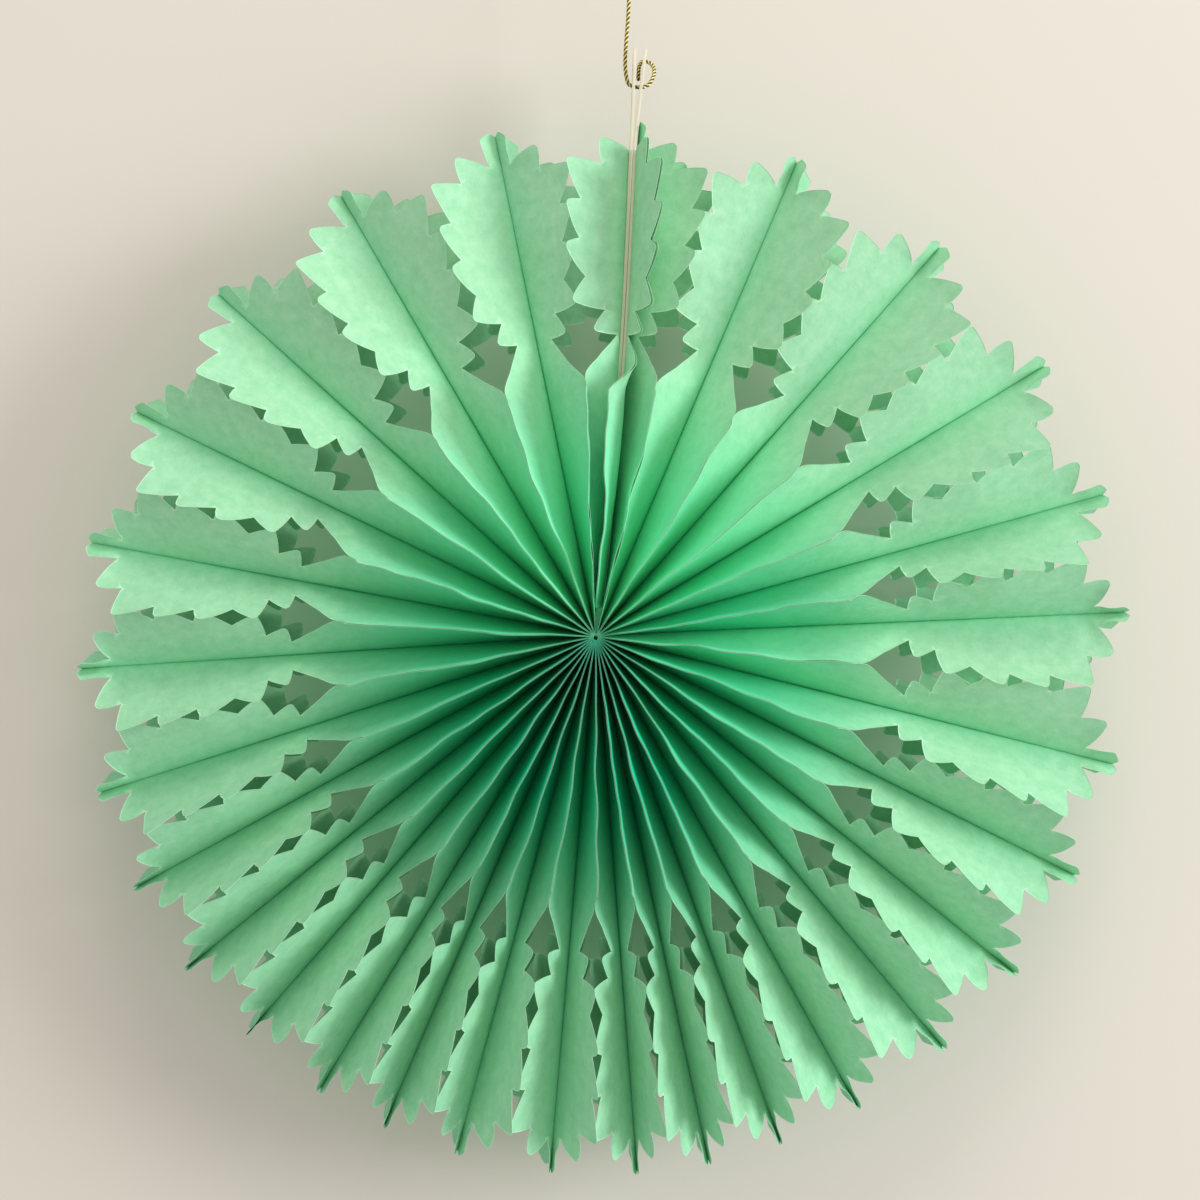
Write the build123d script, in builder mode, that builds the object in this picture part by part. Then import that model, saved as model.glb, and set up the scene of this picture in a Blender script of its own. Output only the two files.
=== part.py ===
from build123d import *
from math import asin, cos, radians, sin, sqrt, tan
import os

os.makedirs("parts", exist_ok=True)

# The part's origin is the top of the cord's eye, where a hook or nail holds it.
# The fan hangs below, upright in the XZ plane, with its front towards -Y.
HUB_DROP = 269.5
HUB_ASIDE = -14.6

# Turns about the hub, in degrees clockwise from straight up as seen from the front.
# The cards close the ring. Each other number is one petal's centre line, and the
# petals are drawn open at the top and crowd together at the bottom.
CARD_TURN = 4.4
CARD_SPLAY = 0.1
PETAL_TURNS = [
    23, 41.5, 59, 74.5, 87.5, 104, 116.6, 128.9, 139.9, 151, 160, 167.9, 175.6, 184.9,
    195.1, 203.4, 211.3, 221.2, 230.9, 241.3, 252.4, 266.3, 280.4, 295.9, 312.1, 329.9, 348.6,
]

# One tissue sheet, laid flat: a long strip with its centre line pointing out of the
# hub, and two halves that mirror each other about that line.
HALF_WIDTH = 37.5
SHEET_THICKNESS = 0.25
CENTRE_GLUE = 1.5
RIDGE_GLUE = 2.5
TIP_REACH = 208.5
TIP_HALF_WIDTH = 5.8
TIP_FOLD_REACH = 207.0
TIP_CORNER_REACH = 205.5
TIP_CORNER_HALF_WIDTH = 10.8
TIP_NOTCH_REACH = 194.5
TIP_NOTCH_HALF_WIDTH = 7.9

# The window is cut into each long edge: its point is on the edge and its base is deep.
WINDOW_POINT = 95.7
WINDOW_POINT_SLANT = 1.2
WINDOW_BASE = 120.8
WINDOW_DEPTH = 24.0
WINDOW_BOW_ALONG = 0.6
WINDOW_BOW_INWARD = 0.18
WINDOW_CURVE_POINTS = 2

# Each tooth and the notch beyond it: (tooth reach, tooth inset, notch reach, notch inset),
# where an inset is measured in from the sheet's long edge.
INNER_TEETH = [(121.0, 14.3, 130.0, 18.8), (131.0, 5.2, 142.0, 10.5)]
MIDDLE_TOOTH = (153.0, 0.4, 156.5, 7.1)
OUTER_TEETH = [(170.0, 0.4, 172.0, 7.1), (187.0, 0.0, 188.0, 15.4)]
LAST_TOOTH = (198.0, 14.0)

# How a sheet folds once the fan is open.
INNER_FOLD_REACH = 100.0
OUTER_FOLD_REACH = 148.0
RELAXED_TILT = 50.0
COLLAPSED_TILT = 15.0
LEAF_CLEARANCE = 0.2
DRAWN_IN = 0.055
MOST_DRAWN_IN_TURN = 330

# The two stiff end cards that stand side by side at the top.
CARD_REACH = 227.5
CARD_WIDTH = 21.0
CARD_THICKNESS = 1.1
CARD_GAP = 0.1
CARD_FLARE = 3.0
CARD_HOLE_INSET = 14.7
CARD_HOLE_DIAMETER = 4.0

CORD_DIAMETER = 1.5
CORD_SIDES = 8
CORD_ARC_SHARE = 0.45

HUB = Vector(HUB_ASIDE, 0, -HUB_DROP)
CARD_SEAT = CARD_GAP / 2 + CARD_THICKNESS
COLLAPSED_SEAT = CARD_SEAT + 2 * SHEET_THICKNESS


def side_plane(turn, side):
    """A plane through the hub: X runs outward, Y towards front or back, Z to one side."""
    angle = radians(turn)
    outward = (sin(angle), 0, cos(angle))
    sideways = (side * cos(angle), 0, -side * sin(angle))
    return Plane(HUB, x_dir=outward, z_dir=sideways)


def pull_at(turn):
    """The share of its flat reach that a sheet has once the open ring has drawn it in."""
    return 1 - DRAWN_IN * (1 + cos(radians(turn - MOST_DRAWN_IN_TURN))) / 2


def edge_point(reach, inset):
    return (reach, HALF_WIDTH - inset)


def leaf_tilt(tips, room):
    """The tilt at which the first of these tips comes up to the next petal's leaf."""
    tilts = [asin(min(1, room(along) / (away - CENTRE_GLUE))) for along, away in tips]
    return min(radians(RELAXED_TILT), *tilts)


def on_leaf(point, tilt):
    """Where a point of the flat sheet lies once its half has tilted from the centre glue."""
    along, away = point
    width = away - CENTRE_GLUE
    return Vector(along, CENTRE_GLUE + width * cos(tilt), width * sin(tilt))


def start_of(half_pitch, seat):
    """How near the hub a sheet can start: there its two glued faces lie in one plane."""
    return (seat + SHEET_THICKNESS) / tan(radians(half_pitch))


def half_facets(start, half_pitch, seat, pull, collapsed):
    """The flat facets of a sheet's front half, as corners (outward, depth, sideways)."""
    def ridge(along):
        return 0 if collapsed else along * tan(radians(half_pitch)) - seat - SHEET_THICKNESS

    def room(along):
        return ridge(along) - LEAF_CLEARANCE

    def tilt_under(tips):
        return radians(COLLAPSED_TILT) if collapsed else leaf_tilt(tips, room)

    middle_width = HALF_WIDTH - CENTRE_GLUE - RIDGE_GLUE

    def pulled(point):
        return (point[0] * pull, point[1])

    hub_fold = Vector(start, CENTRE_GLUE, 0)
    inner_fold = Vector(INNER_FOLD_REACH * pull, CENTRE_GLUE, 0)
    outer_fold = Vector(OUTER_FOLD_REACH * pull, CENTRE_GLUE, 0)
    tip_fold = Vector(TIP_FOLD_REACH * pull, CENTRE_GLUE, 0)

    ridge_end = (WINDOW_POINT + WINDOW_POINT_SLANT) * pull
    ridge_depth = CENTRE_GLUE + sqrt(middle_width**2 - ridge(ridge_end) ** 2)
    hub_ridge = Vector(start, CENTRE_GLUE + middle_width, 0)
    hub_edge = Vector(start, HALF_WIDTH, 0)
    window_shoulder = Vector(ridge_end, ridge_depth, ridge(ridge_end))
    point_along = WINDOW_POINT * pull
    window_point = Vector(point_along, ridge_depth + RIDGE_GLUE, ridge(point_along))

    base = pulled(edge_point(WINDOW_BASE, WINDOW_DEPTH))
    inner_teeth = []
    for tooth_reach, tooth_inset, notch_reach, notch_inset in INNER_TEETH:
        inner_teeth.append(pulled(edge_point(tooth_reach, tooth_inset)))
        inner_teeth.append(pulled(edge_point(notch_reach, notch_inset)))
    middle_tip = pulled(edge_point(*MIDDLE_TOOTH[:2]))
    middle_notch = pulled(edge_point(*MIDDLE_TOOTH[2:]))
    outer_teeth = [middle_notch]
    for tooth_reach, tooth_inset, notch_reach, notch_inset in OUTER_TEETH:
        outer_teeth.append(pulled(edge_point(tooth_reach, tooth_inset)))
        outer_teeth.append(pulled(edge_point(notch_reach, notch_inset)))
    outer_teeth.append(pulled(edge_point(*LAST_TOOTH)))
    outer_teeth.append(pulled((TIP_NOTCH_REACH, TIP_NOTCH_HALF_WIDTH)))
    outer_teeth.append(pulled((TIP_CORNER_REACH, TIP_CORNER_HALF_WIDTH)))
    outer_teeth.append(pulled((TIP_REACH, TIP_HALF_WIDTH)))

    inner_tilt = tilt_under(inner_teeth + [middle_tip])
    outer_tilt = tilt_under(outer_teeth)
    window_base = on_leaf(base, inner_tilt)
    middle_tooth = on_leaf(middle_tip, inner_tilt)
    inner_edge = [on_leaf(point, inner_tilt) for point in inner_teeth]
    outer_edge = [on_leaf(point, outer_tilt) for point in outer_teeth]

    # The window's side bows into the leaf, as part of the facet beside it.
    chord = window_base - window_shoulder
    inward = inner_fold - window_shoulder
    bow = window_shoulder + chord * WINDOW_BOW_ALONG + inward * WINDOW_BOW_INWARD
    window_side = []
    for count in range(WINDOW_CURVE_POINTS, 0, -1):
        share = count / (WINDOW_CURVE_POINTS + 1)
        window_side.append(
            window_shoulder * (1 - share) ** 2
            + bow * (2 * share * (1 - share))
            + window_base * share**2
        )

    return [
        [hub_fold, inner_fold, window_shoulder],
        [hub_fold, window_shoulder, hub_ridge],
        [hub_ridge, window_shoulder, window_point, hub_edge],
        [inner_fold, window_base, *window_side, window_shoulder],
        [inner_fold, window_base, *inner_edge, middle_tooth, outer_fold],
        [outer_fold, middle_tooth, outer_edge[0]],
        [outer_fold, *outer_edge, tip_fold],
    ]


def glue_facet(start, pull):
    """The narrow strip along the centre line, glued flat to the sheet or card beside it."""
    tip = TIP_FOLD_REACH * pull
    return [
        Vector(start, -CENTRE_GLUE, 0),
        Vector(tip, -CENTRE_GLUE, 0),
        Vector(tip, CENTRE_GLUE, 0),
        Vector(start, CENTRE_GLUE, 0),
    ]


def fold_sheet(turn, side, half_pitch, seat, start, collapsed=False):
    """One folded sheet: flat facets on their own planes, thickened to one side."""
    pull = pull_at(turn)
    home = side_plane(turn, side).offset(seat)
    front = half_facets(start, half_pitch, seat, pull, collapsed)
    back = [[Vector(p.X, -p.Y, p.Z) for p in corners] for corners in front]
    with BuildPart() as sheet:
        for corners in [glue_facet(start, pull), *front, *back]:
            first, second, third, *others = [home.from_local_coords(p) for p in corners]
            along = second - first
            flat = Plane(first, x_dir=along, z_dir=along.cross(third - first))
            outline = [flat.to_local_coords(p) for p in (first, second, third, *others)]
            with BuildSketch(flat):
                with BuildLine():
                    Polyline(*[(p.X, p.Y) for p in outline], close=True)
                make_face()
        extrude(amount=SHEET_THICKNESS, dir=home.z_dir)
    return sheet


def make_sheet(name, turn, side, half_pitch, seat):
    """A petal's left or right sheet, from where its glued faces meet to its tip."""
    sheet = fold_sheet(turn, side, half_pitch, seat, start_of(half_pitch, seat))
    sheet.part.label = name
    export_step(sheet.part, f"parts/{name}.step")


def make_collapsed_petal(name, turn, half_pitch, start):
    """The first sheet lies flat on the right card, and a closed petal lies flat on it.

    Two sheets are pressed together from edge to edge. The third is glued to them along
    its centre line and opens out to meet the next petal.
    """
    pressed = fold_sheet(turn, 1, half_pitch, CARD_SEAT, start, collapsed=True)
    pressed.part.label = name
    export_step(pressed.part, f"parts/{name}.step")
    covering = fold_sheet(turn, 1, half_pitch, CARD_SEAT + SHEET_THICKNESS, start, collapsed=True)
    opened = fold_sheet(turn, 1, half_pitch, COLLAPSED_SEAT, start)
    pair = Compound(label="collapsed_petal_sheets", children=[covering.part, opened.part])
    export_step(pair, "parts/collapsed_petal_sheets.step")


def make_card(name, turn, side, start):
    """A stiff strip with a round outer end and a hole, which leans out past the sheets."""
    straight_end = CARD_REACH - CARD_WIDTH / 2
    bend = TIP_REACH * pull_at(turn)
    lean = tan(radians(CARD_FLARE))
    inner = CARD_GAP / 2
    end_inner = inner + (CARD_REACH - bend) * lean
    end_outer = CARD_SEAT + (CARD_REACH - bend) * lean
    home = side_plane(turn, side)
    with BuildPart() as card:
        with BuildSketch(home):
            with Locations(((start + straight_end) / 2, 0)):
                Rectangle(straight_end - start, CARD_WIDTH)
            with Locations((straight_end, 0)):
                Circle(CARD_WIDTH / 2)
            with Locations((CARD_REACH - CARD_HOLE_INSET, 0)):
                Circle(CARD_HOLE_DIAMETER / 2, mode=Mode.SUBTRACT)
        extrude(amount=end_outer)
        with BuildSketch(Plane(home.origin, x_dir=home.x_dir, z_dir=-home.y_dir)):
            with BuildLine():
                Polyline(
                    (start, inner),
                    (bend, inner),
                    (CARD_REACH, end_inner),
                    (CARD_REACH, end_outer),
                    (bend, CARD_SEAT),
                    (start, CARD_SEAT),
                    close=True,
                )
            make_face()
        extrude(amount=CARD_WIDTH / 2, both=True, mode=Mode.INTERSECT)
    card.part.label = name
    export_step(card.part, f"parts/{name}.step")


# The ring of petals: each has a left and a right sheet, glued back to back along the
# centre line, and each pair of neighbours is glued along its long edges up to the windows.
# The cards stand in the first petal, and its right side holds the petal that stays closed.
left_turns = [CARD_TURN - CARD_SPLAY / 2, *PETAL_TURNS]
right_turns = [CARD_TURN + CARD_SPLAY / 2, *PETAL_TURNS]
for index in range(len(left_turns)):
    number = index + 1
    left = f"petal_{number:02d}_left_sheet"
    right = f"petal_{number:02d}_right_sheet"
    next_left = left_turns[number % len(left_turns)]
    half_to_next = (next_left - right_turns[index]) % 360 / 2
    half_to_last = (left_turns[index] - right_turns[index - 1]) % 360 / 2
    if index == 0:
        start = start_of(half_to_next, COLLAPSED_SEAT)
        make_sheet(left, left_turns[index], -1, half_to_last, CARD_SEAT)
        make_card("left_end_card", left_turns[index], -1, start)
        make_card("right_end_card", right_turns[index], 1, start)
        make_collapsed_petal(right, right_turns[index], half_to_next, start)
    else:
        make_sheet(left, left_turns[index], -1, half_to_last, 0)
        make_sheet(right, right_turns[index], 1, half_to_next, 0)

# The gold cord: up from between the two cards, over behind the right card's round end,
# down and in through both cards' holes, and up to the eye that the fan hangs by.
cord_route = [
    Vector(1.8, 1.2, -54.3),
    Vector(2.0, 2.8, -50.6),
    Vector(2.2, 5.6, -47.3),
    Vector(3.3, 8.2, -44.9),
    Vector(5.4, 8.5, -44.7),
    Vector(7.6, 6.8, -46.6),
    Vector(8.3, 3.6, -50.2),
    Vector(7.2, 0.8, -54.4),
    Vector(4.8, 0, -57.4),
    Vector(-1.7, 0, -57.1),
    Vector(-2.9, 0, -53.6),
    Vector(-3.4, 0, -48.5),
    Vector(-3.0, 0, -40.5),
    Vector(-1.8, 0, -25.5),
    Vector(-1.9, 0, -17.5),
    Vector(-4.3, 0, -11.6),
    Vector(-5.5, 0, -7.1),
    Vector(-5.5, 0, -2.5),
    Vector(-2.3, 0, 0.75),
    Vector(2.3, 0, 0.75),
    Vector(5.5, 0, -2.5),
    Vector(5.5, 0, -7.1),
    Vector(3.4, 0, -11.8),
    Vector(0.3, 0, -16.3),
    Vector(-0.25, 0, -20.5),
]
cord_radii = []
for before, corner, after in zip(cord_route, cord_route[1:], cord_route[2:]):
    run_in = corner - before
    run_out = after - corner
    half_turn = radians(run_in.get_angle(run_out)) / 2
    cord_radii.append(CORD_ARC_SHARE * min(run_in.length, run_out.length) / tan(half_turn))
print("cord radii", [round(radius, 1) for radius in cord_radii])

with BuildPart() as hanging_cord:
    with BuildLine() as cord_path:
        FilletPolyline(*cord_route, radius=cord_radii)
    with BuildSketch(Plane(cord_path.line @ 0, z_dir=cord_path.line % 0)):
        RegularPolygon(CORD_DIAMETER / 2, CORD_SIDES)
    sweep()
print("cord length", round(cord_path.wire().length, 1), "volume", round(hanging_cord.part.volume, 1))
hanging_cord.part.label = "hanging_cord"
export_step(hanging_cord.part, "parts/hanging_cord.step")
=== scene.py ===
import math
import random

import bmesh
import bpy
import numpy as np
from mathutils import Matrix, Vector
from mathutils.geometry import delaunay_2d_cdt


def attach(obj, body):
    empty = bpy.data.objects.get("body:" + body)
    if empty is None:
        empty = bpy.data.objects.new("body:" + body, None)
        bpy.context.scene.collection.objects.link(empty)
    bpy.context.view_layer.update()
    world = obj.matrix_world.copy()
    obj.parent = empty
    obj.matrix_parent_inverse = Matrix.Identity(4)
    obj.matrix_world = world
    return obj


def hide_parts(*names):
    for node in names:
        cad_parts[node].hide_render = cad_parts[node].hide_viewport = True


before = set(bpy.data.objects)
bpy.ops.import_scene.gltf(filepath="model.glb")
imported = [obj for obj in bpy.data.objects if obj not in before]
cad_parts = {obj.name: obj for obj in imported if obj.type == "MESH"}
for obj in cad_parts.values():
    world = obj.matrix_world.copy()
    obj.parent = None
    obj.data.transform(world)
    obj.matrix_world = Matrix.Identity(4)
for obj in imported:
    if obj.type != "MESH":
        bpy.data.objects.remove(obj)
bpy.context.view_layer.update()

bl_info = {
    "name": "Paper fan rosette",
    "version": (1, 0, 0),
    "blender": (4, 5, 0),
    "location": "3D View > Sidebar > Paper Fan",
    "description": "Honeycomb tissue fan with toothed petals, two end cards and a gold cord",
    "category": "Object",
}

# Flat sheet, in millimetres: (reach from the hub, distance from the centre line).
# Each tooth tip has the radius that it is rounded to, and notches are left sharp.
WINDOW_POINT = (95.7, 37.5)
WINDOW_CURVE = [(103.6, 29.0), (109.8, 22.2), (116.4, 16.6)]
WINDOW_BASE = (120.8, 13.5)
TEETH = [
    (121.2, 23.4, 1.6), (130.0, 18.7, 0), (131.4, 32.7, 2.0), (142.0, 27.0, 0),
    (153.4, 37.6, 2.2), (156.5, 30.4, 0), (170.6, 37.6, 2.2), (172.0, 30.4, 0),
    (187.9, 37.6, 2.1), (188.0, 22.1, 0), (199.5, 24.0, 2.1), (194.5, 7.9, 0),
    (205.6, 11.0, 1.8), (208.7, 5.7, 1.4), (206.0, 0, 0),
]
TOOTH_BULGE = 0.03

# How the flat sheet is divided: lines across it, the step between rows, and a line just
# inside its cut edge, where the painted highlight along the edge fades out.
ACROSS = [0, 0.75, 1.5, 2.1, 2.8, 3.6, 4.6, 5.8, 7.4, 9.6, 12.4, 15.6, 19, 22.4, 25.8, 29,
          31.6, 33.4, 34.6, 35.6, 36.6]
ROW_STEP = 4.0
RIM_INSET = 0.45

# Where a sheet is glued: along its centre line, and along its edge as far as the window.
# The leaves come free over the next stretch.
CENTRE_GLUE = 1.5
RIDGE_LINE = 35.0
EDGE_LINE = 37.5
GLUED_REACH = 97
COMING_FREE = 26
SHEET_PITCH = 0.25

# A cell is the space between two petals, and its number is that of the petal before it.
# How far a cell's glued ridge leans clockwise at its window, where it leans much, and the
# added roll of its leaves, where one of them is glued to a card.
CELL_LEANS = {27: 2.8}
CELL_ROLLS = {27: 0.09}

# The half pitch, in degrees, of the widest petals that count as narrow, and the range over
# which a petal becomes fully narrow.
NARROW_BELOW = 9.0
NARROW_RANGE = 4.7
# How far the leaves at the back stand clockwise of the front ones, and by how much less in
# narrow petals.
BACK_LEAN = 5.2
BACK_LEAN_LESS = 2
# Degrees by which a sheet that is pressed to a card bows out, turns back in beyond a
# distance from its centre glue, and leans in near the hub.
PRESSED_BOW = 10.5
PRESSED_TURN_IN = 24
PRESSED_TURN_FROM = 19
PRESSED_LEAN = 5.0
# How far aside the widest leaves reach: free ones, and those beside a card.
WIDEST_LEAF = 26.8
WIDEST_HELD_LEAF = 23.2
# The share by which the sheets' ends fall back at the hub, and how far out.
HUB_PIT = 0.07
HUB_PIT_REACH = 8
# The roll of the leaves, between these half pitches in degrees.
ROLL_PITCHES = [4, 8]
ROLLS = [0.2, 0.14]
# How far the glued ridges wave, and how much less in narrow petals.
RIDGE_WAVE = 0.8
RIDGE_WAVE_LESS = 0.3
# The width, inside the ridge's glue, that flops over with it.
RIDGE_SOFTNESS = 0.6

# Route of the gold cord, in millimetres, from between the cards to the knot under its eye.
CORD_ROUTE = [
    (1.8, 1.2, -54.3), (2.0, 2.8, -50.6), (2.2, 5.6, -47.3), (3.3, 8.2, -44.9),
    (5.4, 8.5, -44.7), (7.6, 6.8, -46.6), (8.3, 3.6, -50.2), (7.2, 0.8, -54.4),
    (4.8, 0, -57.4), (-1.7, 0, -57.1), (-2.9, 0, -53.6), (-3.4, 0, -48.5),
    (-3.0, 0, -40.5), (-1.8, 0, -25.5), (-1.9, 0, -17.5), (-4.3, 0, -11.6),
    (-5.5, 0, -7.1), (-5.5, 0, -2.5), (-2.3, 0, 0.75), (2.3, 0, 0.75),
    (5.5, 0, -2.5), (5.5, 0, -7.1), (3.4, 0, -11.8), (0.3, 0, -16.3), (-0.25, 0, -20.5),
]
STRANDS = 4
STRAND_LAY = 0.0038

# The knot is a short coil under the eye, in metres.
KNOT_TURNS = 3.3
KNOT_TOP = (-0.00105, 0, -0.0170)
KNOT_HALF_WIDTH = 0.0021
KNOT_HALF_DEPTH = 0.0015
KNOT_HEIGHT = 0.0044

# The cards' inner ends, softened edges, holes and the length of their bend, in metres.
CARD_START = 0.012
CARD_SOFT_EDGE = 0.00012
CARD_HOLE_INSET = 0.0147
CARD_HOLE_RADIUS = 0.002
CARD_BEND_LENGTH = 0.004
# The cards' arc starts at the hub, is back in line at the first reach, and ends at the next.
ARC_REACH = 0.178
ARC_END = 0.189
# Where lines go across the cards, closer together at the bend, so that they curve smoothly.
CARD_LINES = [*np.arange(0.020, 0.178, 0.008), *np.arange(0.178, 0.204, 0.002)]

# The petals' centre lines, in degrees clockwise from straight up, from the one after the
# cards' petal. The cards' own turn is one of the sizes.
PETAL_TURNS = [
    23, 41.5, 59, 74.5, 87.5, 104, 116.6, 128.9, 139.9, 151, 160, 167.9, 175.6, 184.9,
    195.1, 203.4, 211.3, 221.2, 230.9, 241.3, 252.4, 266.3, 280.4, 295.9, 312.1, 329.9, 348.6,
]

CAMERA_PLACE = (-0.01305, -0.72, -0.25594)
CAMERA_LENS = 55.74
CAMERA_SENSOR = 36

BOARD_FLECKS = (0.9, 0.85, 0.72)

WALL_Y = 0.0392
FLOOR_Z = -0.95
WALL_TOP = 1.6
COVE_RADIUS = 0.3
COVE_STEPS = 8
STAGE_SIDES = (-3, 3)
STAGE_FRONT = -2.5

# The light that the room gives the fan, and the room that the camera and gloss see.
ROOM_LIGHT = (1.0, 0.965, 0.90)
ROOM_STRENGTH = 0.62
ROOM_SEEN = (0.82, 0.8, 0.76)
LAMPS_AIM = (-0.0146, 0, -0.27)
# Each lamp: name, place from where it aims, width, watts and colour.
LAMPS = [
    ("Window light", (2.6, -1.19, 0.42), 1.25, 53.0, (0.95, 1.0, 0.985)),
    ("Ceiling light", (0.2, -0.9, 1.8), 0.9, 11.0, (1.0, 0.94, 0.84)),
]


def length(name, text, default):
    return bpy.props.FloatProperty(
        name=name, description=text, default=default, unit="LENGTH", precision=5)


def colour(name, text, default):
    return bpy.props.FloatVectorProperty(
        name=name, description=text, default=default, subtype="COLOR", size=3, min=0, max=1)


class PaperFanSizes(bpy.types.PropertyGroup):
    """Sizes of the fan"""
    hub_drop: length("Hub drop", "Height of the cord's eye above the hub", 0.2695)
    hub_aside: length("Hub aside", "How far the hub lies to the right of the eye", -0.0146)
    paper: length("Paper", "Thickness of a tissue sheet", 0.0001)
    card_reach: length("Card reach", "Distance of the cards' round ends from the hub", 0.2275)
    card_width: length("Card width", "Width of an end card, front to back", 0.021)
    card_thickness: length("Card thickness", "Thickness of an end card", 0.0011)
    card_gap: length("Card gap", "Gap between the two end cards", 0.0001)
    cord: length("Cord", "Diameter of the twisted cord", 0.0015)
    card_turn: bpy.props.FloatProperty(
        name="Card turn", description="Turn of the cards from upright, clockwise",
        default=math.radians(4.4), subtype="ANGLE")
    card_splay: bpy.props.FloatProperty(
        name="Card splay", description="Angle between the two cards",
        default=math.radians(0.1), subtype="ANGLE")
    card_flare: bpy.props.FloatProperty(
        name="Card flare", description="Angle at which the end of each card leans out",
        default=math.radians(2.5), subtype="ANGLE")
    card_parting: length("Card parting", "Distance from the hub at which the cards part", 0.196)
    card_arc: length("Card arc", "How far both cards bend to the right along their middle", 0.0019)
    drawn_in: bpy.props.FloatProperty(
        name="Drawn in", description="Share by which the shortest petals are drawn in",
        default=0.055, subtype="FACTOR")
    most_drawn_in: bpy.props.FloatProperty(
        name="Most drawn in", description="Turn of the shortest petals from upright, clockwise",
        default=math.radians(330), subtype="ANGLE")


class PaperFanColours(bpy.types.PropertyGroup):
    """Colours of the fan and its stage"""
    tissue: colour("Tissue", "Dyed tissue", (0.33, 0.70, 0.43))
    tissue_pale: colour("Pale tissue", "Thin places in the tissue", (0.455, 0.80, 0.535))
    # The fold colour and the one after it are painted shade: a deeper, darker green that stands in
    # for the shade deep in the folds.
    fold: colour("Fold", "Tissue in the folds of wide petals", (0.14, 0.88, 0.50))
    narrow_fold_shade: colour("Dense fold", "Tissue in the folds of narrow petals", (0.004, 0.58, 0.325))
    # The cut edge colour is a painted highlight: a paler band along the cut edges, where they
    # catch the light.
    rim: colour("Cut edge", "Cut edges of the tissue", (0.60, 0.93, 0.70))
    board: colour("Board", "Faces of the end cards", (0.80, 0.74, 0.58))
    board_core: colour("Board core", "Inner plies of the end cards", (0.62, 0.50, 0.33))
    gold: colour("Gold", "Light gold thread", (1.0, 0.90, 0.36))
    old_gold: colour("Old gold", "Dark gold thread", (0.15, 0.10, 0.015))
    wall: colour("Wall", "Backdrop and floor", (0.80, 0.755, 0.70))


def sizes():
    return bpy.context.scene.paper_fan_sizes


def colours():
    return bpy.context.scene.paper_fan_colours


# Materials

def feed(links, socket, value):
    """Give a socket a number, a colour or another node's output."""
    if isinstance(value, bpy.types.NodeSocket):
        links.new(value, socket)
    else:
        socket.default_value = value


def add_math(nodes, links, operation, *values):
    node = nodes.new("ShaderNodeMath")
    node.operation = operation
    for socket, value in zip(node.inputs, values):
        feed(links, socket, value)
    return node.outputs[0]


def fibre_group():
    """Soft cloud and fine fibres of tissue, as a mask, with a height for the bump."""
    name = "Tissue fibres"
    if name in bpy.data.node_groups:
        return bpy.data.node_groups[name]
    group = bpy.data.node_groups.new(name, "ShaderNodeTree")
    face = group.interface
    face.new_socket("Place", in_out="INPUT", socket_type="NodeSocketVector")
    face.new_socket("Cloud size", in_out="INPUT", socket_type="NodeSocketFloat")
    face.new_socket("Fibre size", in_out="INPUT", socket_type="NodeSocketFloat")
    face.new_socket("Thin places", in_out="OUTPUT", socket_type="NodeSocketFloat")
    face.new_socket("Height", in_out="OUTPUT", socket_type="NodeSocketFloat")
    nodes, links = group.nodes, group.links
    inside = nodes.new("NodeGroupInput")
    out = nodes.new("NodeGroupOutput")

    def noise(size_socket, detail, stretch):
        placed = nodes.new("ShaderNodeMapping")
        placed.inputs["Scale"].default_value = stretch
        links.new(inside.outputs["Place"], placed.inputs["Vector"])
        made = nodes.new("ShaderNodeTexNoise")
        made.inputs["Detail"].default_value = detail
        made.inputs["Roughness"].default_value = 0.6
        links.new(placed.outputs["Vector"], made.inputs["Vector"])
        scale = add_math(nodes, links, "DIVIDE", 1, inside.outputs[size_socket])
        links.new(scale, made.inputs["Scale"])
        return made.outputs["Fac"]

    cloud = noise("Cloud size", 3, (1, 1, 1))
    fibres = noise("Fibre size", 2, (0.3, 1.6, 1))
    cross = noise("Fibre size", 2, (1.3, 0.4, 1))
    woven = add_math(nodes, links, "MAXIMUM", fibres, cross)
    both = add_math(nodes, links, "MULTIPLY_ADD", woven, 0.5, cloud)
    spread = nodes.new("ShaderNodeMapRange")
    spread.inputs["From Min"].default_value = 0.55
    spread.inputs["From Max"].default_value = 1.0
    links.new(both, spread.inputs["Value"])
    links.new(spread.outputs["Result"], out.inputs["Thin places"])
    links.new(both, out.inputs["Height"])
    return group


def new_material(name, roughness):
    material = bpy.data.materials.new(name)
    material.use_nodes = True
    shader = material.node_tree.nodes["Principled BSDF"]
    shader.inputs["Roughness"].default_value = roughness
    return material, material.node_tree.nodes, material.node_tree.links, shader


def add_attribute(nodes, name, output="Fac"):
    node = nodes.new("ShaderNodeAttribute")
    node.attribute_name = name
    return node.outputs[output]


def add_fibres(nodes, links, cloud_size, fibre_size):
    """The fibre group laid on the flat piece, with its sizes in millimetres."""
    fibres = nodes.new("ShaderNodeGroup")
    fibres.node_tree = fibre_group()
    fibres.inputs["Cloud size"].default_value = cloud_size
    fibres.inputs["Fibre size"].default_value = fibre_size
    links.new(add_attribute(nodes, "flat_place", "Vector"), fibres.inputs["Place"])
    return fibres.outputs


def mix_colours(nodes, links, factor, first, second):
    """A colour mix; first and second are colours or the sockets that give them."""
    mix = nodes.new("ShaderNodeMix")
    mix.data_type = "RGBA"
    links.new(factor, mix.inputs["Factor"])
    for socket, value in ((mix.inputs[6], first), (mix.inputs[7], second)):
        is_socket = isinstance(value, bpy.types.NodeSocket)
        feed(links, socket, value if is_socket else (*value, 1))
    return mix.outputs[2]


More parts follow.
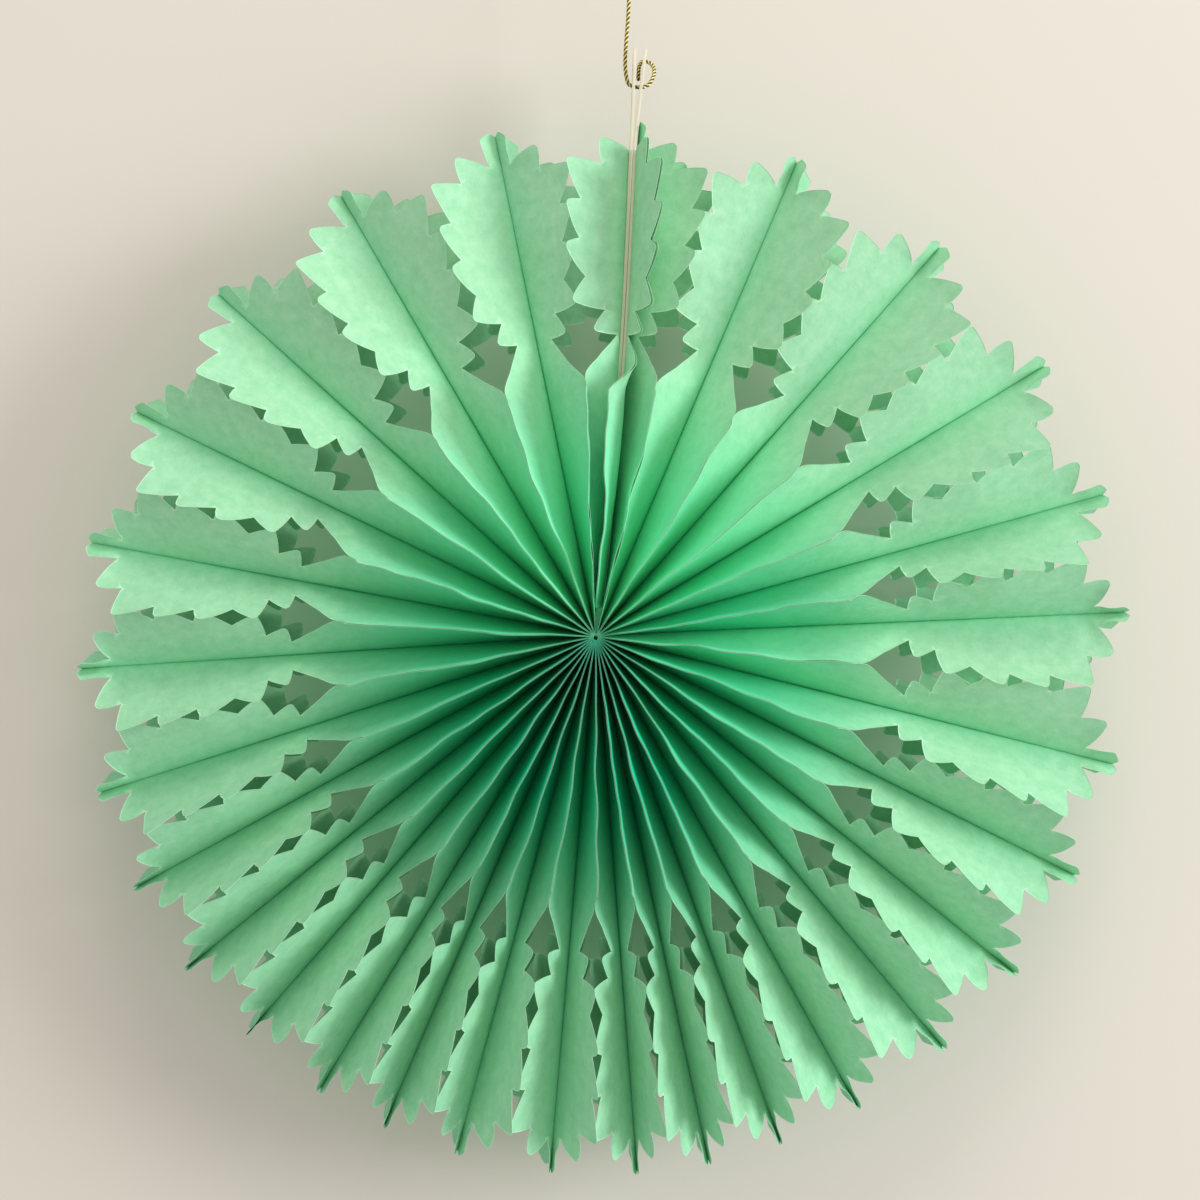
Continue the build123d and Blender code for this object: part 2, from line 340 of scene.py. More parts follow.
def mix_shaders(nodes, links, factor, first, second, output):
    mix = nodes.new("ShaderNodeMixShader")
    for value, socket in zip((factor, first, second), mix.inputs):
        links.new(value, socket)
    links.new(mix.outputs["Shader"], nodes[output].inputs["Surface"])


def add_bump(nodes, links, shader, height, strength, distance):
    bump = nodes.new("ShaderNodeBump")
    bump.inputs["Strength"].default_value = strength
    bump.inputs["Distance"].default_value = distance
    links.new(height, bump.inputs["Height"])
    links.new(bump.outputs["Normal"], shader.inputs["Normal"])


def spread_value(nodes, links, value, low, high):
    spread = nodes.new("ShaderNodeMapRange")
    spread.inputs["To Min"].default_value = low
    spread.inputs["To Max"].default_value = high
    links.new(value, spread.inputs["Value"])
    return spread.outputs["Result"]


def tissue_material():
    material, nodes, links, shader = new_material("Mint tissue", 0.85)
    look = colours()
    fibres = add_fibres(nodes, links, 5.0, 0.7)
    thin = fibres["Thin places"]
    leaf = mix_colours(nodes, links, thin, look.tissue, look.tissue_pale)
    # Painted shade: near the hub, along the centre glue and in narrow petals, the tissue is
    # painted a deeper green in place of the shade that falls in the folds.
    dense = add_attribute(nodes, "dense")
    fold = mix_colours(nodes, links, dense, look.fold, look.narrow_fold_shade)
    shaded_tissue = mix_colours(nodes, links, add_attribute(nodes, "folded"), leaf, fold)
    # Painted highlight: a paler band along the cut edges, where they catch the light.
    cut = spread_value(nodes, links, add_attribute(nodes, "rim"), 0, 0.9)
    highlighted = mix_colours(nodes, links, cut, shaded_tissue, look.rim)
    links.new(highlighted, shader.inputs["Base Color"])
    links.new(spread_value(nodes, links, thin, 0.92, 0.8), shader.inputs["Roughness"])
    shader.inputs["Specular IOR Level"].default_value = 0.2
    dents = add_fibres(nodes, links, 24.0, 9.0)
    height = add_math(nodes, links, "MULTIPLY_ADD", dents["Height"], 5.0, fibres["Height"])
    add_bump(nodes, links, shader, height, 0.5, 0.0002)
    return material


def board_material():
    material, nodes, links, shader = new_material("Cream board", 0.8)
    look = colours()
    fibres = add_fibres(nodes, links, 3.0, 0.35)
    thin = fibres["Thin places"]
    plies = add_attribute(nodes, "ply")
    core = mix_colours(nodes, links, plies, look.board, look.board_core)
    flecks = spread_value(nodes, links, thin, 0, 0.3)
    flecked = mix_colours(nodes, links, flecks, core, BOARD_FLECKS)
    links.new(flecked, shader.inputs["Base Color"])
    links.new(spread_value(nodes, links, thin, 0.85, 0.7), shader.inputs["Roughness"])
    add_bump(nodes, links, shader, fibres["Height"], 0.4, 0.0001)
    return material


def gold_material():
    material, nodes, links, shader = new_material("Gold thread", 0.35)
    look = colours()
    # Light and dark strands, with painted shade on the inner side of the light ones.
    tone_and_shade = add_attribute(nodes, "lay_line")
    thread = mix_colours(nodes, links, tone_and_shade, look.old_gold, look.gold)
    links.new(thread, shader.inputs["Base Color"])
    links.new(spread_value(nodes, links, tone_and_shade, 0.6, 0.3), shader.inputs["Roughness"])
    shader.inputs["Metallic"].default_value = 0.4
    add_bump(nodes, links, shader, tone_and_shade, 0.3, 0.0002)
    return material


# Meshes

def link_mesh(name, points, faces, smooth):
    mesh = bpy.data.meshes.new(name)
    mesh.from_pydata(points.tolist() if isinstance(points, np.ndarray) else points, [], faces)
    mesh.polygons.foreach_set("use_smooth", smooth)
    mesh.update()
    piece = bpy.data.objects.new(name, mesh)
    bpy.context.scene.collection.objects.link(piece)
    return piece


def set_attribute(piece, name, values):
    kind = "FLOAT_VECTOR" if np.ndim(values) == 2 else "FLOAT"
    attribute = piece.data.attributes.new(name, kind, "POINT")
    field = "vector" if kind == "FLOAT_VECTOR" else "value"
    attribute.data.foreach_set(field, np.asarray(values, np.float32).ravel())


def round_tip(before, tip, after, radius, steps=5):
    """The arc that takes off a corner, as points."""
    before, tip, after = Vector(before), Vector(tip), Vector(after)
    back, on = (before - tip).normalized(), (after - tip).normalized()
    half = back.angle(on) / 2
    run = min(radius / math.tan(half), 0.45 * (before - tip).length, 0.45 * (after - tip).length)
    centre = tip + (back + on).normalized() * (run / math.cos(half))
    start, end = tip + back * run - centre, tip + on * run - centre
    turn = start.angle_signed(end)
    points = []
    for count in range(steps + 1):
        angle = -turn * count / steps
        points.append((
            centre.x + start.x * math.cos(angle) - start.y * math.sin(angle),
            centre.y + start.x * math.sin(angle) + start.y * math.cos(angle)))
    return points


def half_outline():
    """The outline of half a flat sheet, from the hub's end out along the edge."""
    corners = [(0, 37.5, 0), (*WINDOW_POINT, 0), *[(*p, 0) for p in WINDOW_CURVE],
               (*WINDOW_BASE, 0), *TEETH]
    points = [corners[0][:2]]
    for before, corner, after in zip(corners, corners[1:], corners[2:]):
        if corner[2]:
            points += round_tip(before[:2], corner[:2], after[:2], corner[2])
        else:
            points.append(corner[:2])
    points.append(corners[-1][:2])
    fine = []
    for start, end in zip(points, points[1:]):
        run = (end[0] - start[0], end[1] - start[1])
        pieces = max(1, round(math.hypot(*run) / 2.5))
        bulge = TOOTH_BULGE if start[0] > WINDOW_BASE[0] - 0.1 else 0
        for count in range(pieces):
            share = count / pieces
            out = bulge * 4 * share * (1 - share)
            fine.append((start[0] + run[0] * share - run[1] * out,
                         start[1] + run[1] * share + run[0] * out))
    fine.append(points[-1])
    return fine


def distances(points, loop):
    """Distance of each point to a closed loop, and whether the point is inside it."""
    near = np.full(len(points), np.inf)
    inside = np.zeros(len(points), bool)
    x, y = points[:, 0], points[:, 1]
    for (ax, ay), (bx, by) in zip(loop, np.roll(loop, -1, axis=0)):
        run = np.array([bx - ax, by - ay])
        share = ((x - ax) * run[0] + (y - ay) * run[1]) / max(run @ run, 1e-12)
        share = np.clip(share, 0, 1)
        near = np.minimum(near, np.hypot(x - ax - share * run[0], y - ay - share * run[1]))
        if ay != by:
            crosses = (ay > y) != (by > y)
            inside ^= crosses & (x < ax + (y - ay) * (bx - ax) / (by - ay))
    return near, inside


def flat_half():
    """Half a flat sheet as triangles: points, triangles and the share of the painted highlight
    along the cut edge.
    """
    edge = half_outline()
    centre = [(x, 0.0) for x in np.arange(203, 1, -ROW_STEP)]
    loop = np.array(edge + centre + [(0.0, 0.0)] + [(0.0, y) for y in ACROSS[1:]])
    after = np.roll(loop, -1, axis=0) - loop
    along = after + loop - np.roll(loop, 1, axis=0)
    inward = np.stack([along[:, 1], -along[:, 0]], 1)
    inward /= np.linalg.norm(inward, axis=1)[:, None]
    inset = loop[:len(edge)] + inward[:len(edge)] * RIM_INSET
    near, inside = distances(inset, loop)
    inset = inset[inside & (near > 0.6 * RIM_INSET) & (inset[:, 1] > 0.3)]
    rows, columns = np.meshgrid(np.arange(ROW_STEP / 2, 209, ROW_STEP), ACROSS[1:])
    grid = np.stack([rows.ravel(), columns.ravel()], 1)
    near, inside = distances(grid, loop)
    grid = grid[inside & (near > 0.9)]
    points = np.concatenate([loop, inset, grid])
    made = delaunay_2d_cdt([Vector(p) for p in points], [], [list(range(len(loop)))], 1, 1e-5)
    spots = np.array([tuple(p) for p in made[0]])
    # The painted highlight along the cut edge is faint at the hub, reaches 0.7 along the glued
    # edge, and is full from the window out.
    cut = np.array([any(i < len(edge) for i in origin) for origin in made[3]], float)
    cut = cut * np.interp(spots[:, 0], [0, 30, WINDOW_POINT[0] - 1, WINDOW_POINT[0]],
                          [0.1, 0.7, 0.7, 1])
    triangles = np.array(made[2])
    a, b, c = (spots[triangles[:, k]] for k in range(3))
    area = (b[:, 0] - a[:, 0]) * (c[:, 1] - a[:, 1]) - (c[:, 0] - a[:, 0]) * (b[:, 1] - a[:, 1])
    triangles[area < 0] = triangles[area < 0][:, ::-1]
    return spots, triangles, cut


def ease(value):
    value = np.clip(value, 0, 1)
    return value * value * (3 - 2 * value)


def solve_tilt(shape, across, targets, widths):
    """For each target, the tilt at which a leaf of this bend and width reaches that far."""
    step = across[1] - across[0]
    counted = np.clip((np.asarray(widths)[:, None] - across) / step, 0, 1)
    low = np.zeros(len(targets))
    high = np.full(len(targets), math.radians(88))
    for _ in range(30):
        middle = (low + high) / 2
        tilt = middle[:, None] * shape
        reach = (np.sin(tilt) * counted).sum(1) * step
        short = reach < targets
        low = np.where(short, middle, low)
        high = np.where(short, high, middle)
    return middle


def slow_wave(rng, along, size, waves=3):
    """A smooth irregular wave along a piece."""
    total = np.zeros_like(along)
    for count in range(waves):
        span = rng.uniform(38, 90) / (count + 1)
        total += np.sin(along / span * 2 * math.pi + rng.uniform(0, 6.28)) / (count + 1)
    return size * total / 1.6


class Sheet:
    """One folded sheet: where it stands, and how its halves bend.

    Its side is -1 left or 1 right of the petal's centre line, and seat is its distance from
    that line. Over says which half, front or back, lies over the next petal's leaf. Held is
    the width glued to a card beyond the centre glue. Pressed is how far the edge stands off
    where the sheet lies against a card, and otherwise 0. Begin is how near the hub it
    starts, and rise is how much more width its leaves take to open.
    """

    def __init__(self, node, turn, side, half_pitch, seat, cell, over=False, pressed=0,
                 begin=None, held=0, rise=0):
        self.node = node
        self.turn = turn
        self.side = side
        self.half_pitch = half_pitch
        self.seat = seat
        self.cell = cell
        self.over = over
        self.pressed = pressed
        self.held = held
        self.rise = rise
        self.paper = sizes().paper * 1000
        self.begin = begin or (seat + self.paper) / math.tan(half_pitch)
        narrow = (NARROW_BELOW - math.degrees(half_pitch)) / NARROW_RANGE
        self.narrow = min(1, max(0, narrow))

    def glued_tilt(self, rows, across):
        """The tilt between the centre glue and the glued long edge."""
        reach = self.real_reach(rows)
        if self.pressed:
            # It bows out from the card and turns back in, more so away from the hub.
            swell = 0.15 + 0.85 * ease((reach - 32) / 40)[:, None]
            off_glue = ease((across - self.held) / 4)
            bow = PRESSED_BOW * off_glue * ease((PRESSED_TURN_FROM - across) / 8)
            bow = bow - PRESSED_TURN_IN * ease((across - PRESSED_TURN_FROM) / 6)
            lean = PRESSED_LEAN * off_glue[None, :] * (1 - swell)
            return np.radians(bow)[None, :] * swell - np.radians(lean)
        glued_width = RIDGE_LINE - CENTRE_GLUE
        shape = ease((across - self.held) / 6) * ease((glued_width - across) / 8)
        shape = np.repeat(np.where(across < glued_width, shape, 0)[None, :], len(rows), 0)
        ridge = reach * math.tan(self.half_pitch) - self.seat - self.paper
        ridge = ridge - self.side * self.arc(reach)
        widths = np.full(len(rows), across[-1])
        return solve_tilt(shape, across, np.clip(ridge, 0, None), widths)[:, None] * shape

    def free_tilt(self, rows, across, rng, over):
        """The tilt of the free leaf, whose edge comes up to the next petal's leaf."""
        # A leaf rises from the glue over this width, which is less near its tip.
        start = (np.interp(rows, [118, 190], [4.5, 1.8]) + self.rise)[:, None]
        # The lobe at the tip stays more or less closed, most in narrow petals.
        closed = rng.uniform(0.1, 0.6) + 0.45 * self.narrow
        tip = (1 - ease((across - 8) / 2))[None, :] * ease((rows - 194) / 6)[:, None]
        lean = across[None, :] / across[-1]
        across = across - self.held
        widths = np.interp(rows, [120, 131, 153], [27.0, 29.5, 34.5])
        degrees = math.degrees(self.half_pitch)
        if self.pressed:
            shape = ease(across / (start + 2))
            widths = np.interp(rows, [115, 131, 153], [21.9, 29.5, 36.0])
            edge = np.interp(rows, [115, 170, 200], [7.0, 9.9, 9.0]) + self.pressed
        else:
            if over:
                shape = ease(across / start) * (1 - 0.22 * ease((lean - 0.6) / 0.4))
            else:
                shape = ease(across / (start + 1)) * (0.82 + 0.36 * lean)
            shape = shape * (1 - min(closed, 0.95) * tip)
            # The edge goes past the cell's middle, or stops short under another leaf.
            past = np.interp(degrees, [3.5, 8], [0.7, 2.2] if over else [-0.9, 0.5])
            past = past * np.interp(rows, [112, 131, 150], [0, 0.2, 1])
            widest = WIDEST_HELD_LEAF if self.held else WIDEST_LEAF
            widest = widest + rng.uniform(-0.6, 0.6)
            reach = self.real_reach(rows)
            edge = reach * math.tan(self.half_pitch) - self.seat + past
            edge = edge - self.side * self.arc(reach)
            # The edge stays softly below the widest that a leaf reaches.
            edge = widest - np.logaddexp(0, (widest - edge) * 0.8) / 0.8
        edge = edge + slow_wave(rng, rows, 0.5) * ease((rows - 125) / 40)
        return solve_tilt(shape, across, edge, widths - self.held)[:, None] * shape

    def bends(self, rng, over):
        """Tables over reach and distance from the glue: how far aside and how deep."""
        rows = np.linspace(0, 212, 72)
        across = np.linspace(0, EDGE_LINE - CENTRE_GLUE, 73)
        share = ease((rows - GLUED_REACH) / COMING_FREE)[:, None]
        tilt = self.glued_tilt(rows, across) * (1 - share)
        tilt = tilt + self.free_tilt(rows, across, rng, over) * share
        step = across[1] - across[0]

        def run(values):
            middles = (values[:, 1:] + values[:, :-1]) / 2 * step
            return np.concatenate([np.zeros((len(rows), 1)), np.cumsum(middles, 1)], 1)
        return rows, across, run(np.sin(tilt)), CENTRE_GLUE + run(np.cos(tilt))

    def real_reach(self, along):
        """Reach in the open fan of a place on the flat sheet."""
        size = sizes()
        pull = 1 - size.drawn_in * (1 + math.cos(self.turn - size.most_drawn_in)) / 2
        near_hub = self.begin + along * (GLUED_REACH * pull - self.begin) / GLUED_REACH
        return np.where(along < GLUED_REACH, near_hub, along * pull)

    def fold(self, flat, front):
        """Places in space, in metres, of points of the flat sheet's front or back half."""
        rng = random.Random(f"{self.node} {front}")
        over = self.over == front
        rows, across, aside_table, depth_table = self.bends(rng, over)
        along, away = flat[:, 0], flat[:, 1]
        row = np.clip((along - rows[0]) / (rows[1] - rows[0]), 0, len(rows) - 1.001)
        column = np.clip(away - CENTRE_GLUE, 0, None) / (across[1] - across[0])
        column = np.clip(column, 0, len(across) - 1.001)
        i, j = row.astype(int), column.astype(int)
        u, v = row - i, column - j

        def at(table):
            return ((table[i, j] * (1 - v) + table[i, j + 1] * v) * (1 - u)
                    + (table[i + 1, j] * (1 - v) + table[i + 1, j + 1] * v) * u)

        aside = np.where(away > CENTRE_GLUE, at(aside_table), 0)
        depth = np.where(away > CENTRE_GLUE, at(depth_table), away)
        reach = self.real_reach(along)
        # The hub is a shallow pit.
        depth = depth * (1 - HUB_PIT * (1 - ease(along / HUB_PIT_REACH)))

        # The glued ridges wave a little and flop over, both sheets of a cell alike.
        wave_rng = random.Random(f"cell {self.cell} {front}")
        wave = slow_wave(wave_rng, along, RIDGE_WAVE - RIDGE_WAVE_LESS * self.narrow)
        wave = wave * ease(along / 40)
        wave = wave + CELL_LEANS.get(self.cell, 0) * along / WINDOW_POINT[0]
        downhill = 1 if math.sin(self.turn + self.side * self.half_pitch) > 0 else -1
        strip = np.clip(away - RIDGE_LINE + RIDGE_SOFTNESS, 0, None)
        width = EDGE_LINE - RIDGE_LINE + RIDGE_SOFTNESS
        lean = 0.3 + 0.4 * ease(along / 90) + slow_wave(wave_rng, along, 0.3)
        lean = lean * ease(along / 25)
        lean = np.minimum(lean, 0.3 * reach * math.tan(self.half_pitch)) * downhill
        flop = 0 if self.pressed else lean * (strip / width) ** 1.5
        clockwise = wave * (away / EDGE_LINE) ** 2 + flop
        clockwise = clockwise * (1 - ease((along - 96) / 14))
        depth = depth - (strip - np.sqrt(np.maximum(strip ** 2 - flop ** 2, 0)))
        # The back leaves stand a little further clockwise than the front ones.
        if not front:
            leaf = np.clip((away - CENTRE_GLUE - self.held) / 14, 0, 1)
            leaf = leaf * ease((along - GLUED_REACH) / 70)
            clockwise = clockwise + (BACK_LEAN - BACK_LEAN_LESS * self.narrow) * leaf
        # Beyond the window each petal rolls, so that one leaf lies over its neighbour.
        if not self.pressed:
            roll = np.interp(math.degrees(self.half_pitch), ROLL_PITCHES, ROLLS)
            roll = roll + CELL_ROLLS.get(self.cell, 0)
            roll = roll * ease((along - GLUED_REACH) / COMING_FREE) * (1 if over else -1)
            depth = depth + roll * aside
        aside = aside + self.side * clockwise * math.cos(self.half_pitch)
        reach = reach - self.side * clockwise * math.sin(self.half_pitch)
        return self.in_space(reach, aside, depth if front else -depth)

    def arc(self, reach):
        return card_arc(reach / 1000) * 1000 if self.seat else 0 * reach

    def in_space(self, reach, aside, depth):
        size = sizes()
        sine, cosine = math.sin(self.turn), math.cos(self.turn)
        bow = card_bow(reach / 1000) * 1000 if self.seat else 0
        aside = (aside + self.seat + bow) * self.side + self.arc(reach)
        x = size.hub_aside + (reach * sine + aside * cosine) / 1000
        z = -size.hub_drop + (reach * cosine - aside * sine) / 1000
        return np.stack([x, -depth / 1000, z], 1)


def card_bow(reach):
    """How far a card, and what is glued to it, leans out at this distance from the hub."""
    size = sizes()
    past = reach - size.card_parting
    bend = np.sqrt(past ** 2 + CARD_BEND_LENGTH ** 2) + past
    return math.tan(size.card_flare) * bend / 2


def card_arc(reach):
    """How far both cards bend clockwise at this distance from the hub."""
    return sizes().card_arc * np.sin(math.pi * np.minimum(reach, ARC_END) / ARC_REACH)


def fan_sheets():
    """All the sheets of the fan, petal by petal, clockwise from the cards."""
    size = sizes()
    seat = (size.card_gap / 2 + size.card_thickness) * 1000
    left = [size.card_turn - size.card_splay / 2] + [math.radians(t) for t in PETAL_TURNS]
    right = [size.card_turn + size.card_splay / 2] + left[1:]
    made = []
    for index in range(len(left)):
        to_next = (left[(index + 1) % len(left)] - right[index]) % math.tau / 2
        to_last = (left[index] - right[index - 1]) % math.tau / 2
        name = f"petal_{index + 1:02d}"
        right_over = math.sin(right[index] + to_next) > 0
        left_over = math.sin(left[index] - to_last) < 0
        held = 0 if index else size.card_width * 500 - CENTRE_GLUE
        made.append(Sheet(f"{name}_left_sheet", left[index], -1, to_last,
                          0 if index else seat, (index - 1) % len(left), left_over, held=held))
        if index:
            made.append(Sheet(f"{name}_right_sheet", right[index], 1, to_next, 0, index,
                              right_over))
            continue
        # The petal beside the right card stays closed: two sheets are pressed together, and
        # the second one's edge stands out a little further than the first one's.
        top = seat + 2 * SHEET_PITCH
        opened = Sheet("collapsed_petal_sheets", right[0], 1, to_next, top, 0, right_over,
                       rise=12)
        for node, lift in ((f"{name}_right_sheet", 0), ("collapsed_petal_sheets", 1)):
            made.append(Sheet(node, right[0], 1, to_next, seat + lift * SHEET_PITCH, "pressed",
                              pressed=0.01 + 0.8 * lift, begin=opened.begin, held=held))
        made.append(opened)
    return made


def build_sheet(sheet, flat, triangles, cut, number):
    """A closed thin solid: both halves, an inner and an outer face, and the cut edge."""
    centre = flat[:, 1] < 1e-4
    back_index = np.where(centre, np.arange(len(flat)), 0)
    back_index[~centre] = len(flat) + np.arange((~centre).sum())
    points = np.concatenate([sheet.fold(flat, True), sheet.fold(flat, False)[~centre]])
    faces = np.concatenate([triangles, back_index[triangles][:, ::-1]])
    if sheet.side > 0:
        faces = faces[:, ::-1]
    a, b, c = (points[faces[:, k]] for k in range(3))
    face_normals = np.cross(b - a, c - a)
    normals = np.zeros_like(points)
    for k in range(3):
        np.add.at(normals, faces[:, k], face_normals)
    normals /= np.maximum(np.linalg.norm(normals, axis=1), 1e-12)[:, None]
    count = len(points)
    outer = points + normals * sizes().paper
    directed = np.concatenate([faces[:, [0, 1]], faces[:, [1, 2]], faces[:, [2, 0]]])
    known = set(map(tuple, directed.tolist()))
    border = [(p, q) for p, q in directed.tolist() if (q, p) not in known]
    sides = [(q, p, p + count, q + count) for p, q in border]
    all_faces = faces[:, ::-1].tolist() + (faces + count).tolist() + sides
    smooth = [True] * (2 * len(faces)) + [False] * len(sides)
    name = "tissue_" + sheet.node
    if sheet.node == "collapsed_petal_sheets":
        name = "tissue_collapsed_petal_" + ("inner" if sheet.pressed else "outer")
    piece = link_mesh(name, np.concatenate([points, outer]), all_faces, smooth)
    place = np.stack([flat[:, 0], flat[:, 1], np.full(len(flat), number * 50.0)], 1)
    mirrored = place[~centre] * (1, -1, 1)
    set_attribute(piece, "flat_place", np.tile(np.concatenate([place, mirrored]), (2, 1)))
    # The painted highlight along the cut edges.
    set_attribute(piece, "rim", np.tile(np.concatenate([cut, cut[~centre]]), 2))
    # Painted shade: how closely the tissue is folded, near the hub, along the centre glue, and all
    # over in narrow petals, sets how much of the deeper fold colour stands in for the shade that
    # falls there.
    narrow = sheet.narrow
    inner = 1 - ease((flat[:, 0] - 25 - 15 * narrow) / 105)
    valley = np.exp(-flat[:, 1] / 4.5) * np.interp(flat[:, 0], [140, 200], [0.75, 0.3])
    folded = np.clip((0.85 + 0.1 * narrow) * inner + valley + 0.12 * narrow, 0, 1)
    set_attribute(piece, "folded", np.tile(np.concatenate([folded, folded[~centre]]), 2))
    set_attribute(piece, "dense", np.full(2 * count, narrow))
    return piece


def mesh_of_curve(shape):
    source = bpy.data.objects.new(shape.name, shape)
    bpy.context.scene.collection.objects.link(source)
    bpy.context.view_layer.update()
    mesh = bpy.data.meshes.new_from_object(
        source.evaluated_get(bpy.context.evaluated_depsgraph_get()))
    bpy.data.objects.remove(source)
    return mesh


def card_piece(name, turn, side):
    """An end card with softened edges, as a filled curve turned into a mesh."""
    size = sizes()
    half = size.card_width / 2
    straight_end = size.card_reach - half
    outline = [(CARD_START, -half), (straight_end, -half)]
    for count in range(1, 24):
        angle = -math.pi / 2 + math.pi * count / 24
        outline.append((straight_end + half * math.cos(angle), half * math.sin(angle)))
    outline += [(straight_end, half), (CARD_START, half)]
    hole_at = size.card_reach - CARD_HOLE_INSET
    hole = [(hole_at + CARD_HOLE_RADIUS * math.cos(math.tau * k / 24),
             CARD_HOLE_RADIUS * math.sin(math.tau * k / 24)) for k in range(24)]
    shape = bpy.data.curves.new(name, "CURVE")
    shape.dimensions = "2D"
    shape.fill_mode = "BOTH"
    shape.extrude = size.card_thickness / 2 - CARD_SOFT_EDGE
    shape.bevel_depth = CARD_SOFT_EDGE
    shape.bevel_resolution = 1
    shape.offset = -CARD_SOFT_EDGE
    for loop in (outline, hole):
        spline = shape.splines.new("POLY")
        spline.points.add(len(loop) - 1)
        for point, (x, y) in zip(spline.points, loop):
            point.co = (x, y, 0, 1)
        spline.use_cyclic_u = True
    mesh = mesh_of_curve(shape)
    cut = bmesh.new()
    cut.from_mesh(mesh)
    for x in CARD_LINES:
        everything = [*cut.verts, *cut.edges, *cut.faces]
        bmesh.ops.bisect_plane(cut, geom=everything, plane_co=(x, 0, 0), plane_no=(1, 0, 0))
    cut.to_mesh(mesh)
    cut.free()
    points = np.array([v.co for v in mesh.vertices])
    place = points * 1000
    sine, cosine = math.sin(turn), math.cos(turn)
    reach = points[:, 0]
    middle_aside = size.card_gap / 2 + size.card_thickness / 2 + card_bow(reach)
    aside = side * (points[:, 2] + middle_aside) + card_arc(reach)
    placed = np.stack([
        size.hub_aside + reach * sine + aside * cosine, side * points[:, 1],
        -size.hub_drop + reach * cosine - aside * sine], 1)
    mesh.vertices.foreach_set("co", placed.ravel())
    mesh.update()
    piece = bpy.data.objects.new(name, mesh)
    bpy.context.scene.collection.objects.link(piece)
    set_attribute(piece, "flat_place", place)
    middle = 1 - np.abs(points[:, 2]) / (size.card_thickness / 2)
    set_attribute(piece, "ply", np.clip(middle * 1.5, 0, 1) * 0.6)
    return piece


def smooth_line(route):
    """Points along the smooth line of a route, read from its curve."""
    shape = bpy.data.curves.new("route", "CURVE")
    shape.dimensions = "3D"
    shape.resolution_u = 24
    spline = shape.splines.new("NURBS")
    spline.points.add(len(route) - 1)
    for point, (x, y, z) in zip(spline.points, route):
        point.co = (x / 1000, y / 1000, z / 1000, 1)
    spline.order_u = 3
    spline.use_endpoint_u = True
    return np.array([v.co for v in mesh_of_curve(shape).vertices])


def even_steps(line, step):
    runs = np.linalg.norm(np.diff(line, axis=0), axis=1)
    place = np.concatenate([[0], np.cumsum(runs)])
    wanted = np.linspace(0, place[-1], max(8, round(place[-1] / step)))
    return np.stack([np.interp(wanted, place, line[:, k]) for k in range(3)], 1), wanted


def twisted_strands(name, line, radius, strands, lay, sides=8, step=0.00022):
    """Strands laid round a line, as closed tubes in one mesh."""
    line, place = even_steps(line, step)
    tangent = np.gradient(line, axis=0)
    tangent /= np.linalg.norm(tangent, axis=1)[:, None]
    across = np.zeros_like(line)
    across[0] = np.cross(tangent[0], (0.3, 1, 0.2))
    across[0] /= np.linalg.norm(across[0])
    for k in range(1, len(line)):
        moved = across[k - 1] - tangent[k] * (across[k - 1] @ tangent[k])
        across[k] = moved / np.linalg.norm(moved)
    third = np.cross(tangent, across)
    # Strands a little thicker than the room they have press into each other, as thread does.
    strand_radius = radius * 0.56
    offset = radius * 0.48
    points, faces, light = [], [], []
    # Their ends are rounded.
    taper = np.clip(np.minimum(place, place[-1] - place) / strand_radius, 0.15, 1) ** 0.5
    for strand in range(strands):
        angle = math.tau * (place / lay + strand / strands)
        out = across * np.cos(angle)[:, None] + third * np.sin(angle)[:, None]
        swing = third * np.cos(angle)[:, None] - across * np.sin(angle)[:, None]
        middle = line + out * offset
        first = len(points)
        for k in range(len(line)):
            for side in range(sides):
                about = math.tau * side / sides
                away = out[k] * math.cos(about) + swing[k] * math.sin(about)
                points.append(middle[k] + away * strand_radius * taper[k])
                # Light and dark strands take turns, and a light one is painted darker on its inner
                # side, as painted shade where the strands press together.
                light.append((1 - strand % 2) * (0.6 + 0.4 * math.cos(about)))
        for k in range(len(line) - 1):
            for side in range(sides):
                a = first + k * sides + side
                b = first + k * sides + (side + 1) % sides
                faces.append((a, b, b + sides, a + sides))
        last = first + (len(line) - 1) * sides
        faces.append(tuple(first + side for side in reversed(range(sides))))
        faces.append(tuple(last + side for side in range(sides)))
    piece = link_mesh(name, np.array(points), faces, [len(f) == 4 for f in faces])
    set_attribute(piece, "lay_line", light)
    return piece


# Operators

def own(piece, slot, material, *nodes):
    piece.data.materials.clear()
    piece.data.materials.append(material)
    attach(piece, "root")
    if nodes:
        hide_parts(*nodes)


class PAPERFAN_OT_camera(bpy.types.Operator):
    """Place the camera straight in front of the fan"""
    bl_idname = "paper_fan.camera"
    bl_label = "Place Camera"

    def execute(self, context):
        data = bpy.data.cameras.new("Front camera")
        data.lens = CAMERA_LENS
        data.sensor_width = CAMERA_SENSOR
        camera = bpy.data.objects.new("Front camera", data)
        camera.location = CAMERA_PLACE
        camera.rotation_euler = (math.pi / 2, 0, 0)
        context.scene.collection.objects.link(camera)
        context.scene.camera = camera
        return {"FINISHED"}


